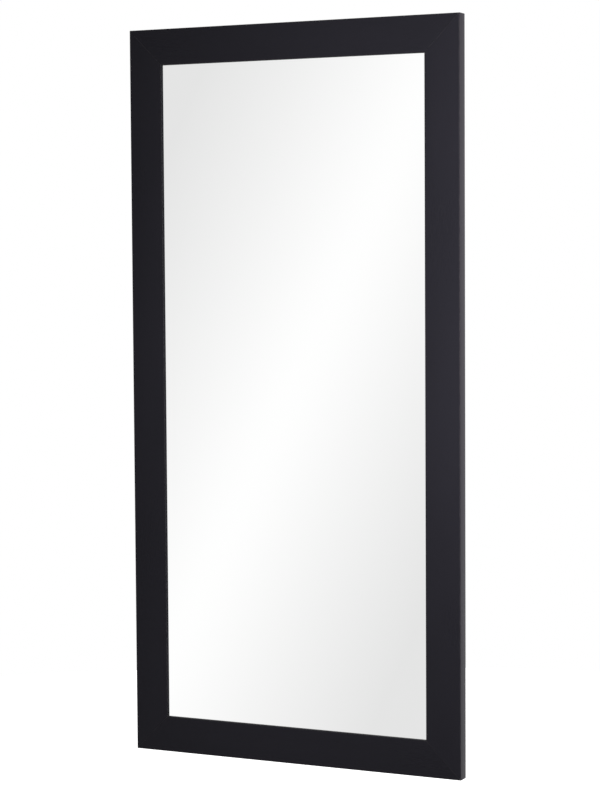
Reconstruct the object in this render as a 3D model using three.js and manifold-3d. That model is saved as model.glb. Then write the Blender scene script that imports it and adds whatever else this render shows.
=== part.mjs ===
// Pull-out closet mirror on two ball-bearing runners.
// Millimetres, +Z up. The plane y = 0 is the closet's side panel, the glass faces -Y and the mirror
// pulls out along +X. The origin is on the side panel, behind the middle of the mirror pushed in.

import * as THREE from 'three';
import { mergeVertices } from 'three/addons/utils/BufferGeometryUtils.js';
import Module from 'manifold-3d';

const wasm = await Module();
wasm.setup();

// Gaps and facets
const seat_gap = 0.3;
const race_gap = 0.2;
const cut_overrun = 1;
const round_facets = 24;
const screw_facets = 12;
const corner_facets = 2;

// Mirror frame
const mirror_width = 585;
const mirror_height = 1200;
const moulding_width = 59.2;
const moulding_depth = 22;
const moulding_arris = 1.2;
const lip_depth = 3.5;
const glass_overlap = 8;
const glass_slack = 1;
const glass_thickness = 4;
const board_thickness = 3;

// Steel clips that hold the glass and its board
const clip_sheet = 1.5;
const clip_width = 18;
const clip_tab = 10;
const clip_foot = 14;
const clip_hole_radius = 2.2;
const clip_height_shares = [-0.6, 0, 0.6];

// Flat angles over the mitres
const brace_sheet = 2;
const brace_arm = 85;
const brace_width = 18;
const brace_hole_radius = 2.2;
const brace_hole_shares = [0.45, 0.85];

// Runners
const runner_length = 500;
const runner_travel = 480;
const runner_height = 45;
const runner_depth = 12.7;
const runner_sheet = 1.2;
const outer_ball = 3.8;
const inner_ball = 2.6;
const cage_sheet = 0.6;
const cage_margin = 20;
const balls_per_row = 6;
const ball_facets = 8;
const ball_bands = 6;
const ball_row_share = 0.92;
const panel_screw_radius = 2.5;
const access_hole_radius = 4.5;
const panel_screw_shares = [-0.4, -0.14, 0.14, 0.4];
const arm_screw_shares = [-0.3, 0.04, 0.3];
const closing_buffer_length = 6;

// Strip that joins the runners on the side panel
const spine_width = 60;
const spine_sheet = 2;
const spine_tab = 10;
const spine_hole_shares = [-0.8, -0.3, 0.3, 0.8];

// Carriage
const arm_height = 40;
const arm_depth = 12;
const arm_wall = 1.5;
const cap_flange = 1.5;
const cap_depth = 12;
const post_size = 25;
const post_wall = 2;
const post_overrun = 15.3;
const stay_width = 20;
const tube_corner = 2.5;

// Pivots
const pivot_inset = 27;
const swing_clearance = 2.7;
const pin_radius = 4;
const pin_head_radius = 7;
const pin_head_height = 4;
const pin_length = 28;
const bush_wall = 1.5;
const bush_flange = 1.5;
const bush_flange_radius = 9;
const washer_thickness = 1;
const plug_wall = 1.9;
const plug_flange = 3;
const plug_depth = 22;
const ear_radius = 10;
const bracket_sheet = 4;
const bracket_width = 24;
const bracket_height = 68;
const bracket_end_margin = 140;
const bracket_screw_shares = [0.25, 0.55, 0.85];

// Countersunk wood screws of the brackets
const screw_head_radius = 4;
const screw_head_height = 2.4;
const screw_shank_radius = 2;
const screw_length = 16;
const screw_tip = 4;

// Stops and catch
const swing_buffer_width = 8;
const swing_buffer_height = 40;
const swing_buffer_share = 0.55;
const strike_sheet = 1.5;
const strike_width = 16;
const strike_height = 50;
const catch_gap = 0.5;
const catch_width = 18;
const catch_height = 46;
const magnet_width = 12;
const magnet_height = 32;
const magnet_depth = 6;

// Places that follow from the sizes
const half_width = mirror_width / 2;
const half_height = mirror_height / 2;

const arm_back_y = -runner_depth - seat_gap;
const arm_front_y = arm_back_y - arm_depth;
const post_front_y = arm_back_y - post_size;

const bush_bore = pin_radius + seat_gap;
const bush_radius = bush_bore + bush_wall;
const plug_bore = bush_radius + seat_gap;
const pivot_edge = post_wall + seat_gap + plug_wall + plug_bore;
const swing_radius = pivot_edge * Math.SQRT2 + swing_clearance;
const pivot_x = half_width - pivot_inset;
const pivot_y = post_front_y + pivot_edge;
const post_right_x = pivot_x + pivot_edge;
const post_left_x = post_right_x - post_size;

// Heights from the frame's end inwards: bracket, pivot stack, post end, arm and runner
const ear_near_z = half_height - bracket_end_margin - bracket_height;
const ear_far_z = ear_near_z + bracket_sheet;
const washer_z = ear_near_z - seat_gap - washer_thickness;
const bush_flange_z = washer_z - seat_gap - bush_flange;
const plug_flange_z = bush_flange_z - seat_gap - plug_flange;
const post_end_z = plug_flange_z - seat_gap;
const runner_z = post_end_z - post_overrun - arm_height / 2;

const frame_back_y = pivot_y - swing_radius;
const frame_front_y = frame_back_y - moulding_depth;
const lip_back_y = frame_front_y + lip_depth;
const glass_front_y = lip_back_y + seat_gap;
const glass_back_y = glass_front_y + glass_thickness;
const board_front_y = glass_back_y + seat_gap;
const board_back_y = board_front_y + board_thickness;
const fixing_y = frame_back_y + seat_gap;
const rebate_inset = moulding_width - glass_overlap - glass_slack;
const glass_half_width = half_width - moulding_width + glass_overlap;
const glass_half_height = half_height - moulding_width + glass_overlap;

const runner_front_x = post_left_x;
const runner_rear_x = runner_front_x - runner_length;
const runner_mid_x = (runner_front_x + runner_rear_x) / 2;
const member_rear_x = runner_rear_x + closing_buffer_length + seat_gap;
const stay_x = -half_width + rebate_inset / 2;
const arm_rear_x = stay_x - stay_width / 2;
const arm_front_x = post_left_x - seat_gap;

// Half heights of the runner's nested members and ball rows
const outer_half = runner_height / 2;
const outer_row = outer_half - runner_sheet - race_gap - outer_ball / 2;
const middle_half = outer_row - outer_ball / 2 - race_gap;
const inner_row = middle_half - runner_sheet - race_gap - inner_ball / 2;
const inner_half = inner_row - inner_ball / 2 - race_gap;

// Depths of the runner's webs, from the side panel
const outer_cage_depth = runner_sheet + seat_gap;
const middle_web_depth = outer_cage_depth + cage_sheet + seat_gap;
const inner_cage_depth = middle_web_depth + runner_sheet + seat_gap;
const inner_flange_depth = inner_cage_depth + cage_sheet + seat_gap;
const outer_lip_depth = runner_depth - runner_sheet;
const middle_lip_depth = outer_lip_depth - runner_sheet;

// Finishes
const black_foil = { color: 0x222126, roughness: 0.5, metalness: 0 };
const silvered_glass = { color: 0xe6e8e8, roughness: 0.02, metalness: 1 };
const hardboard = { color: 0x6b4a32, roughness: 0.85, metalness: 0 };
const zinc_steel = { color: 0xb9bcc0, roughness: 0.35, metalness: 1 };
const black_zinc = { color: 0x464649, roughness: 0.4, metalness: 1 };
const magnet_steel = { color: 0x8f8f91, roughness: 0.4, metalness: 1 };
const black_steel = { color: 0x1d1d20, roughness: 0.45, metalness: 0.3 };
const black_plastic = { color: 0x161618, roughness: 0.6, metalness: 0 };
const white_nylon = { color: 0xdcdad2, roughness: 0.5, metalness: 0 };
const grey_rubber = { color: 0x3a3a3c, roughness: 0.9, metalness: 0 };

// Turns a section drawn in (y, z) so that it is drawn out along X, and one drawn in (x, z) along Y
const section_to_x = new THREE.Matrix4().makeBasis(
  new THREE.Vector3(0, 1, 0),
  new THREE.Vector3(0, 0, 1),
  new THREE.Vector3(1, 0, 0),
);
const section_to_y = new THREE.Matrix4().makeBasis(
  new THREE.Vector3(1, 0, 0),
  new THREE.Vector3(0, 0, 1),
  new THREE.Vector3(0, -1, 0),
);

function outline(points) {
  return new THREE.Shape(points.map(([across, up]) => new THREE.Vector2(across, up)));
}

// Rectangle between two corners, with round corners
function roundedRectangle(low, high, radius) {
  const quarter = Math.PI / 2;
  const shape = new THREE.Shape();
  shape.absarc(high[0] - radius, high[1] - radius, radius, 0, quarter);
  shape.absarc(low[0] + radius, high[1] - radius, radius, quarter, 2 * quarter);
  shape.absarc(low[0] + radius, low[1] + radius, radius, 2 * quarter, 3 * quarter);
  shape.absarc(high[0] - radius, low[1] + radius, radius, 3 * quarter, 4 * quarter);
  return shape;
}

function drawn(shape, length) {
  const settings = { depth: length, bevelEnabled: false, curveSegments: corner_facets };
  return new THREE.ExtrudeGeometry(shape, settings);
}

function drawnAlongX(shape, from, to) {
  return drawn(shape, to - from).applyMatrix4(section_to_x).translate(from, 0, 0);
}

function drawnAlongY(shape, from, to) {
  return drawn(shape, to - from).applyMatrix4(section_to_y).translate(0, to, 0);
}

function drawnAlongZ(shape, from, to) {
  return drawn(shape, to - from).translate(0, 0, from);
}

// Box between two opposite corners, given in any order
function block(corner, opposite) {
  const size = corner.map((value, i) => Math.abs(opposite[i] - value));
  const middle = corner.map((value, i) => (opposite[i] + value) / 2);
  return new THREE.BoxGeometry(...size).translate(...middle);
}

function rodAlongY(radius, x, z, from, to) {
  const rod = new THREE.CylinderGeometry(radius, radius, to - from, screw_facets);
  return rod.translate(x, (from + to) / 2, z);
}

function rodAlongZ(radius, x, y, from, to) {
  const rod = new THREE.CylinderGeometry(radius, radius, Math.abs(to - from), round_facets);
  return rod.rotateX(Math.PI / 2).translate(x, y, (from + to) / 2);
}

// Turned piece from (radius, height) points, lowest first, about the Y axis
function turned(points, facets) {
  return new THREE.LatheGeometry(points.map(([radius, height]) => new THREE.Vector2(radius, height)), facets);
}

function solidOf(geometry) {
  const bare = geometry.clone();
  bare.deleteAttribute('normal');
  bare.deleteAttribute('uv');
  const merged = mergeVertices(bare);
  return new wasm.Manifold(new wasm.Mesh({
    numProp: 3,
    vertProperties: new Float32Array(merged.attributes.position.array),
    triVerts: new Uint32Array(merged.index.array),
  }));
}

function geometryOf(solid) {
  const { vertProperties, triVerts } = solid.getMesh();
  const geometry = new THREE.BufferGeometry();
  geometry.setAttribute('position', new THREE.BufferAttribute(vertProperties, 3));
  geometry.setIndex(new THREE.BufferAttribute(triVerts, 1));
  geometry.computeVertexNormals();
  return geometry;
}

function joined(geometries) {
  return geometryOf(geometries.map(solidOf).reduce((whole, piece) => whole.add(piece)));
}

function cut(geometry, cutters) {
  const uncut = solidOf(geometry);
  return geometryOf(cutters.map(solidOf).reduce((whole, cutter) => whole.subtract(cutter), uncut));
}

function piece(name, geometry, finish) {
  const mesh = new THREE.Mesh(geometry, new THREE.MeshStandardMaterial(finish));
  mesh.name = name;
  return mesh;
}

function groupOf(pieces) {
  const group = new THREE.Group();
  group.add(...pieces);
  return group;
}

// Upper and lower copies of what is made twice, above and below the middle
const levels = [['upper', 1], ['lower', -1]];

// The four sides of the frame are drawn as the left one and turned about Y to their places
const left_turn = 0;
const right_turn = Math.PI;
const top_turn = Math.PI / 2;
const bottom_turn = -Math.PI / 2;

// Moulding with a rebate and mitred ends, along Z, with its outer edge at x = -reach
function moulding(reach, length) {
  const shape = outline([
    [0, frame_front_y + moulding_arris],
    [moulding_arris, frame_front_y],
    [moulding_width - moulding_arris, frame_front_y],
    [moulding_width, frame_front_y + moulding_arris],
    [moulding_width, lip_back_y],
    [rebate_inset, lip_back_y],
    [rebate_inset, frame_back_y],
    [0, frame_back_y],
  ]);
  const geometry = drawn(shape, 1);
  const places = geometry.attributes.position;
  for (let i = 0; i < places.count; i += 1) {
    const inset = places.getX(i);
    const end = places.getZ(i) > 0 ? 1 : -1;
    places.setX(i, inset - reach);
    places.setZ(i, end * (length / 2 - inset - seat_gap * Math.SQRT1_2));
  }
  geometry.deleteAttribute('normal');
  geometry.deleteAttribute('uv');
  return mergeVertices(geometry);
}

// Countersunk screw with its head's face at y = 0, driven towards -Y
function screwShape(gap) {
  const tip = gap > 0 ? [[0, -screw_length - gap], [screw_shank_radius + gap, -screw_length - gap]]
    : [[0, -screw_length], [screw_shank_radius, screw_tip - screw_length]];
  return [...tip, [screw_shank_radius + gap, -screw_head_height], [screw_head_radius + gap, 0]];
}

function screw(x, y, z) {
  return turned([...screwShape(0), [0, 0]], screw_facets).translate(x, y, z);
}

function screwHole(x, y, z) {
  const mouth = [[screw_head_radius + seat_gap, cut_overrun], [0, cut_overrun]];
  return turned([...screwShape(seat_gap), ...mouth], screw_facets).translate(x, y, z);
}

const bracket_back_y = fixing_y + bracket_sheet;
const bracket_screw_places = levels.flatMap(([level, side]) => bracket_screw_shares.map((share, i) => ({
  name: `bracket_screw_${level}_${i + 1}`,
  z: side * (ear_near_z + share * bracket_height),
})));

function frameSides() {
  const stile = moulding(half_width, mirror_height);
  const rail = moulding(half_height, mirror_width);
  const right_stile = cut(
    stile.clone().rotateY(right_turn),
    bracket_screw_places.map(({ z }) => screwHole(pivot_x, bracket_back_y, z)),
  );
  return [
    piece('left_stile', stile, black_foil),
    piece('right_stile', right_stile, black_foil),
    piece('top_rail', rail.clone().rotateY(top_turn), black_foil),
    piece('bottom_rail', rail.clone().rotateY(bottom_turn), black_foil),
  ];
}

function glassAndBoard() {
  const glass = block(
    [-glass_half_width, glass_front_y, -glass_half_height],
    [glass_half_width, glass_back_y, glass_half_height],
  );
  const board = block(
    [-glass_half_width, board_front_y, -glass_half_height],
    [glass_half_width, board_back_y, glass_half_height],
  );
  return [piece('mirror_glass', glass, silvered_glass), piece('backing_board', board, hardboard)];
}

// Cranked clip on the left side of a frame with that reach, at a place along the side
function glassClip(reach, place) {
  const tab_x = rebate_inset - clip_tab;
  const riser_x = rebate_inset + seat_gap;
  const foot_x = riser_x + clip_foot;
  const foot_y = board_back_y + seat_gap;
  const profile = outline([
    [tab_x, fixing_y],
    [riser_x, fixing_y],
    [riser_x, foot_y],
    [foot_x, foot_y],
    [foot_x, foot_y + clip_sheet],
    [riser_x + clip_sheet, foot_y + clip_sheet],
    [riser_x + clip_sheet, fixing_y + clip_sheet],
    [tab_x, fixing_y + clip_sheet],
  ]);
  const strip = drawnAlongZ(profile, place - clip_width / 2, place + clip_width / 2);
  const hole_x = rebate_inset - clip_tab / 2;
  const hole = rodAlongY(clip_hole_radius, hole_x, place, frame_back_y, fixing_y + clip_sheet + cut_overrun);
  return cut(strip, [hole]).translate(-reach, 0, 0);
}

function glassClips() {
  const on_stiles = [['left', left_turn], ['right', right_turn]].flatMap(([side, turn]) => (
    clip_height_shares.map((share, i) => piece(
      `glass_clip_${side}_${i + 1}`,
      glassClip(half_width, share * glass_half_height).rotateY(turn),
      zinc_steel,
    ))
  ));
  const on_rails = [['top', top_turn], ['bottom', bottom_turn]].map(([side, turn]) => (
    piece(`glass_clip_${side}`, glassClip(half_height, 0).rotateY(turn), zinc_steel)
  ));
  return [...on_stiles, ...on_rails];
}

// Flat angle over the mitre at the corner on the given sides of the middle
function cornerBrace(side_x, side_z) {
  const edge = (rebate_inset - brace_width) / 2;
  const far = edge + brace_arm;
  const near = edge + brace_width;
  const at = ([inset_x, inset_z]) => [side_x * (half_width - inset_x), side_z * (half_height - inset_z)];
  const corners = [[edge, edge], [far, edge], [far, near], [near, near], [near, far], [edge, far]];
  const plate = drawnAlongY(outline(corners.map(at)), fixing_y, fixing_y + brace_sheet);
  const middle = edge + brace_width / 2;
  const holes = brace_hole_shares.flatMap((share) => {
    const along = edge + share * brace_arm;
    return [at([along, middle]), at([middle, along])];
  });
  return cut(plate, holes.map(([x, z]) => (
    rodAlongY(brace_hole_radius, x, z, frame_back_y, fixing_y + brace_sheet + cut_overrun)
  )));
}

function cornerBraces() {
  return levels.flatMap(([level, side_z]) => [['left', -1], ['right', 1]].map(([side, side_x]) => (
    piece(`corner_brace_${level}_${side}`, cornerBrace(side_x, side_z), zinc_steel)
  )));
}

// Angle bracket: a leaf on the right stile and an ear that takes the pin past the post's end
function pivotBracket(side) {
  const leaf = block(
    [pivot_x - bracket_width / 2, fixing_y, side * ear_near_z],
    [pivot_x + bracket_width / 2, bracket_back_y, side * (ear_near_z + bracket_height)],
  );
  const ear = block(
    [pivot_x - ear_radius, fixing_y, side * ear_near_z],
    [pivot_x + ear_radius, pivot_y, side * ear_far_z],
  );
  const nose = rodAlongZ(ear_radius, pivot_x, pivot_y, side * ear_near_z, side * ear_far_z);
  const pin_hole = rodAlongZ(
    pin_radius + seat_gap,
    pivot_x,
    pivot_y,
    side * (ear_near_z - cut_overrun),
    side * (ear_far_z + cut_overrun),
  );
  const screw_holes = bracket_screw_places.map(({ z }) => screwHole(pivot_x, bracket_back_y, z));
  return cut(joined([leaf, ear, nose]), [pin_hole, ...screw_holes]);
}

// Turned pivot piece: its axis along Z at the pivot, its far side away from the mirror's middle
function atPivot(geometry, side, z) {
  return geometry.rotateX(side * Math.PI / 2).translate(pivot_x, pivot_y, side * z);
}

function pivotPin(side) {
  const profile = [
    [0, -pin_length],
    [pin_radius, -pin_length],
    [pin_radius, 0],
    [pin_head_radius, 0],
    [pin_head_radius, pin_head_height],
    [0, pin_head_height],
  ];
  return atPivot(turned(profile, round_facets), side, ear_far_z + seat_gap);
}

function hingeSet() {
  return [
    ...levels.map(([level, side]) => piece(`pivot_bracket_${level}`, pivotBracket(side), black_steel)),
    ...levels.map(([level, side]) => piece(`pivot_pin_${level}`, pivotPin(side), zinc_steel)),
    ...bracket_screw_places.map(({ name, z }) => piece(name, screw(pivot_x, bracket_back_y, z), black_zinc)),
  ];
}

function strikePlate() {
  return block(
    [stay_x - strike_width / 2, fixing_y, -strike_height / 2],
    [stay_x + strike_width / 2, fixing_y + strike_sheet, strike_height / 2],
  );
}

// Channel section in (y, z) open at the front, with lips turned in to the given half height
function lippedChannel(half, back_depth, front_depth, lip_half) {
  const web = -back_depth - runner_sheet;
  const lip = -front_depth + runner_sheet;
  const race = half - runner_sheet;
  const upper = [
    [-back_depth, half],
    [-front_depth, half],
    [-front_depth, lip_half],
    [lip, lip_half],
    [lip, race],
    [web, race],
  ];
  const lower = upper.map(([y, z]) => [y, -z]).reverse();
  return outline([...upper, ...lower]);
}

// Plain channel section in (y, z): a web at one depth and two flanges as far as the other
function plainChannel(half, web_depth, flange_depth, sheet) {
  const web = web_depth < flange_depth ? web_depth + sheet : web_depth - sheet;
  return outline([
    [-web_depth, half],
    [-flange_depth, half],
    [-flange_depth, half - sheet],
    [-web, half - sheet],
    [-web, sheet - half],
    [-flange_depth, sheet - half],
    [-flange_depth, -half],
    [-web_depth, -half],
  ]);
}

function holesAlongRunner(radius, shares) {
  return shares.map((share) => (
    rodAlongY(radius, runner_mid_x + share * runner_length, 0, -runner_depth - cut_overrun, cut_overrun)
  ));
}

function outerMember() {
  const section = lippedChannel(outer_half, 0, runner_depth, outer_row);
  const channel = drawnAlongX(section, runner_rear_x, runner_front_x);
  return cut(channel, holesAlongRunner(panel_screw_radius, panel_screw_shares));
}

function middleMember() {
  const section = lippedChannel(middle_half, middle_web_depth, outer_lip_depth, inner_row);
  const channel = drawnAlongX(section, member_rear_x, runner_front_x);
  return cut(channel, holesAlongRunner(access_hole_radius, panel_screw_shares));
}

function innerMember() {
  const section = plainChannel(inner_half, runner_depth, inner_flange_depth, runner_sheet);
  const channel = drawnAlongX(section, member_rear_x, runner_front_x);
  return cut(channel, holesAlongRunner(panel_screw_radius, arm_screw_shares));
}

// Cage strip bent round a member, joined to its two rows of balls
function ballCage(row, ball, web_depth, race_lip_depth) {
  const length = runner_length - runner_travel / 2 - cage_margin;
  const flange_depth = race_lip_depth - seat_gap;
  const section = plainChannel(row + cage_sheet / 2, web_depth, flange_depth, cage_sheet);
  const strip = drawnAlongX(section, runner_mid_x - length / 2, runner_mid_x + length / 2);
  const ball_y = -(web_depth + cage_sheet + race_lip_depth) / 2;
  const balls = [];
  for (let i = 0; i < balls_per_row; i += 1) {
    const share = (i / (balls_per_row - 1) - 1 / 2) * ball_row_share;
    for (const side of [1, -1]) {
      const sphere = new THREE.SphereGeometry(ball / 2, ball_facets, ball_bands);
      balls.push(sphere.translate(runner_mid_x + share * length, ball_y, side * row));
    }
  }
  return joined([strip, ...balls]);
}

function closingBuffer() {
  return block(
    [runner_rear_x, -outer_cage_depth, -inner_half],
    [runner_rear_x + closing_buffer_length, -runner_depth, inner_half],
  );
}

function atRunner(geometry, side) {
  return geometry.clone().translate(0, 0, side * runner_z);
}

function upperAndLower(name, geometry, finish) {
  return levels.map(([level, side]) => piece(`${name}_${level}`, atRunner(geometry, side), finish));
}

function mountingSpine() {
  const half = runner_z - outer_half - seat_gap;
  const strip = drawnAlongX(plainChannel(half, 0, spine_tab, spine_sheet), -spine_width / 2, spine_width / 2);
  return cut(strip, spine_hole_shares.map((share) => (
    rodAlongY(panel_screw_radius, 0, share * half, -spine_sheet - cut_overrun, cut_overrun)
  )));
}

// Rectangle between two corners drawn in by an inset all round
function insetRectangle(low, high, inset, radius) {
  return roundedRectangle(low.map((value) => value + inset), high.map((value) => value - inset), radius);
}

function boreCorner(wall) {
  return Math.max(tube_corner - wall, tube_corner / 4);
}

// Rectangular tube section between two corners
function tubeSection(low, high, wall) {
  const section = roundedRectangle(low, high, tube_corner);
  section.holes.push(insetRectangle(low, high, wall, boreCorner(wall)));
  return section;
}

const arm_low = [arm_front_y, -arm_height / 2];
const arm_high = [arm_back_y, arm_height / 2];
const post_low = [post_left_x, post_front_y];
const post_high = [post_right_x, arm_back_y];

function arm() {
  return drawnAlongX(tubeSection(arm_low, arm_high, arm_wall), arm_rear_x, arm_front_x);
}

function armCap() {
  const flange_x = arm_rear_x - seat_gap;
  const flange = drawnAlongX(
    roundedRectangle(arm_low, arm_high, tube_corner),
    flange_x - cap_flange,
    flange_x,
  );
  const core = drawnAlongX(
    insetRectangle(arm_low, arm_high, arm_wall + seat_gap, boreCorner(arm_wall)),
    flange_x - cap_flange / 2,
    arm_rear_x + cap_depth,
  );
  return joined([flange, core]);
}

function pivotPost() {
  return drawnAlongZ(tubeSection(post_low, post_high, post_wall), -post_end_z, post_end_z);
}

function rearStay() {
  const end = runner_z - arm_height / 2 - seat_gap;
  const low = [stay_x - stay_width / 2, arm_front_y];
  const high = [stay_x + stay_width / 2, arm_back_y];
  return drawnAlongZ(tubeSection(low, high, arm_wall), -end, end);
}

// Section drawn along Z between two heights above the middle, or below it for the lower side
function drawnAtEnd(shape, side, near, far) {
  return drawnAlongZ(shape, Math.min(side * near, side * far), Math.max(side * near, side * far));
}

function postPlug(side) {
  const deep_z = post_end_z - plug_depth;
  const far_z = plug_flange_z + plug_flange;
  const flange = drawnAtEnd(roundedRectangle(post_low, post_high, tube_corner), side, plug_flange_z, far_z);
  const core = drawnAtEnd(
    insetRectangle(post_low, post_high, post_wall + seat_gap, boreCorner(post_wall)),
    side,
    deep_z,
    plug_flange_z + plug_flange / 2,
  );
  const bore = rodAlongZ(
    plug_bore,
    pivot_x,
    pivot_y,
    side * (deep_z - cut_overrun),
    side * (far_z + cut_overrun),
  );
  return cut(joined([flange, core]), [bore]);
}

function pivotBush(side) {
  const sleeve = plug_depth + plug_flange;
  const profile = [
    [bush_bore, -sleeve],
    [bush_radius, -sleeve],
    [bush_radius, 0],
    [bush_flange_radius, 0],
    [bush_flange_radius, bush_flange],
    [bush_bore, bush_flange],
    [bush_bore, -sleeve],
  ];
  return atPivot(turned(profile, round_facets), side, bush_flange_z);
}

function pivotWasher(side) {
  const profile = [
    [bush_bore, 0],
    [bush_flange_radius, 0],
    [bush_flange_radius, washer_thickness],
    [bush_bore, washer_thickness],
    [bush_bore, 0],
  ];
  return atPivot(turned(profile, round_facets), side, washer_z);
}

// Stop on the post's outer face that the frame's back meets when the mirror is turned out
function swingBuffer(side) {
  const middle = side * swing_buffer_share * runner_z;
  return block(
    [post_right_x + seat_gap, pivot_y - swing_clearance / 2, middle - swing_buffer_height / 2],
    [
      pivot_x + swing_radius - seat_gap,
      pivot_y - swing_clearance / 2 + swing_buffer_width,
      middle + swing_buffer_height / 2,
    ],
  );
}

function magneticCatch() {
  const back_y = arm_front_y - seat_gap;
  const face_y = fixing_y + strike_sheet + catch_gap;
  const pocket_half = magnet_width / 2 + seat_gap;
  const housing = block([stay_x - catch_width / 2, back_y, -catch_height / 2], [
    stay_x + catch_width / 2,
    face_y + seat_gap,
    catch_height / 2,
  ]);
  const pocket = block([stay_x - pocket_half, face_y - cut_overrun, -magnet_height / 2 - seat_gap], [
    stay_x + pocket_half,
    face_y + magnet_depth + seat_gap,
    magnet_height / 2 + seat_gap,
  ]);
  const magnet = block(
    [stay_x - magnet_width / 2, face_y, -magnet_height / 2],
    [stay_x + magnet_width / 2, face_y + magnet_depth, magnet_height / 2],
  );
  return [
    piece('catch_housing', cut(housing, [pocket]), black_plastic),
    piece('catch_magnet', magnet, magnet_steel),
  ];
}

function onBothLevels(name, make, finish) {
  return levels.map(([level, side]) => piece(`${name}_${level}`, make(side), finish));
}

const mirror = groupOf([
  ...frameSides(),
  ...glassAndBoard(),
  ...glassClips(),
  ...cornerBraces(),
  ...hingeSet(),
  piece('strike_plate', strikePlate(), zinc_steel),
]);

const carriage = groupOf([
  ...upperAndLower('inner_member', innerMember(), zinc_steel),
  ...upperAndLower('arm', arm(), black_steel),
  ...upperAndLower('arm_cap', armCap(), black_plastic),
  piece('pivot_post', pivotPost(), black_steel),
  piece('rear_stay', rearStay(), black_steel),
  ...onBothLevels('post_plug', postPlug, black_plastic),
  ...onBothLevels('pivot_bush', pivotBush, white_nylon),
  ...onBothLevels('pivot_washer', pivotWasher, white_nylon),
  ...onBothLevels('swing_buffer', swingBuffer, grey_rubber),
  ...magneticCatch(),
]);

const inner_cages = groupOf(upperAndLower(
  'inner_ball_cage',
  ballCage(inner_row, inner_ball, inner_cage_depth, middle_lip_depth),
  zinc_steel,
));

const middle_members = groupOf(upperAndLower('middle_member', middleMember(), zinc_steel));

const outer_cages = groupOf(upperAndLower(
  'outer_ball_cage',
  ballCage(outer_row, outer_ball, outer_cage_depth, outer_lip_depth),
  zinc_steel,
));

const base = groupOf([
  ...upperAndLower('outer_member', outerMember(), zinc_steel),
  ...upperAndLower('closing_buffer', closingBuffer(), grey_rubber),
  piece('mounting_spine', mountingSpine(), zinc_steel),
]);

const pull_out_mirror = new THREE.Group();
pull_out_mirror.add(base, outer_cages, middle_members, inner_cages, carriage, mirror);

export default pull_out_mirror;
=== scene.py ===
"""Finished surfaces, fastenings and studio for a pull-out closet mirror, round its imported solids.

Metres, Z up. The closet's side panel is the plane y = 0, the glass faces -Y and the mirror pulls out
along +X.
"""

import math

import bmesh
import bpy
from bpy.props import FloatProperty, FloatVectorProperty, IntProperty, PointerProperty
from mathutils import Matrix, Vector


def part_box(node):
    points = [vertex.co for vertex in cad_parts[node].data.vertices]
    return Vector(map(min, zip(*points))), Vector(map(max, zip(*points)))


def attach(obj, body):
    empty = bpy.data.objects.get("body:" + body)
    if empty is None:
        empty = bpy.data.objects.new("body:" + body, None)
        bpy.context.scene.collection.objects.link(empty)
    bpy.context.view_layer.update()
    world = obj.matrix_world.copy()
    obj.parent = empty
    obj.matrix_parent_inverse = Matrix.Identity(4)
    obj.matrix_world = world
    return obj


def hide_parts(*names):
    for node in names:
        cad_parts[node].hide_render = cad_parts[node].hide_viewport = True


bl_info = {
    "name": "Pull-out closet mirror",
    "version": (1, 0, 0),
    "blender": (4, 5, 0),
    "location": "3D View > Sidebar > Closet Mirror",
    "description": "Builds the finished pieces of a pull-out closet mirror round its solids",
    "category": "Object",
}

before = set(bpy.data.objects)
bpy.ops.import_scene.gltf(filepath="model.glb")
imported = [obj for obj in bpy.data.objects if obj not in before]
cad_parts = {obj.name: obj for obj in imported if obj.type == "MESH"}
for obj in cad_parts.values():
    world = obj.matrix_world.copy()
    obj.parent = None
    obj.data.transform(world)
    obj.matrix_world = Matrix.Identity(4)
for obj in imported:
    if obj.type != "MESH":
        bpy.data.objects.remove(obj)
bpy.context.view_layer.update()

MM = 0.001
LEVELS = (("upper", 1), ("lower", -1))
SIDES = (-1, 1)

# Faces of the solids that the pieces are set against
frame_low, frame_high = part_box("left_stile")
glass_low, glass_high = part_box("mirror_glass")
FRONT_Y = frame_low.y
BACK_Y = frame_high.y
HALF_WIDTH = -frame_low.x
HALF_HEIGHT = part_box("top_rail")[1].z
FIXING_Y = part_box("corner_brace_upper_left")[0].y
SEAT_GAP = 0.3 * MM
GLASS_SLACK = 1 * MM


def middle_of(node):
    low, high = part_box(node)
    return (low + high) / 2


# Sizes and colours that can be changed


def length_property(name, description, default):
    return FloatProperty(
        name=name, description=description, default=default, min=0, unit="LENGTH", precision=4
    )


def colour_property(name, description, default):
    return FloatVectorProperty(
        name=name, description=description, default=default, min=0, max=1, size=3, subtype="COLOR"
    )


class FrameSettings(bpy.types.PropertyGroup):
    """Mouldings and glass."""

    moulding_width: length_property("Moulding width", "Width of the flat face", frame_high.x - frame_low.x)
    lip_depth: length_property(
        "Lip depth", "Thickness of the lip in front of the glass", glass_low.y - FRONT_Y - SEAT_GAP
    )
    rebate_inset: length_property(
        "Rebate inset", "From the outer edge to the rebate's wall", HALF_WIDTH - glass_high.x - GLASS_SLACK
    )
    arris: length_property("Arris", "Radius of the face's long edges", 1.6 * MM)
    mitre_gap: length_property("Mitre gap", "Gap between two mitred ends", 0.06 * MM)
    mitre_arris: length_property("Mitre arris", "Rounding of the mitred ends", 0.16 * MM)
    foil: colour_property("Foil", "Satin foil round the mouldings", (0.0195, 0.0185, 0.0245))
    fibreboard: colour_property("Fibreboard", "Bare back and rebate of the mouldings", (0.31, 0.205, 0.12))
    silver: colour_property("Silver", "Silvered face of the glass", (0.985, 0.987, 0.985))
    hardboard: colour_property("Hardboard", "Backing board", (0.17, 0.09, 0.045))


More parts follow.
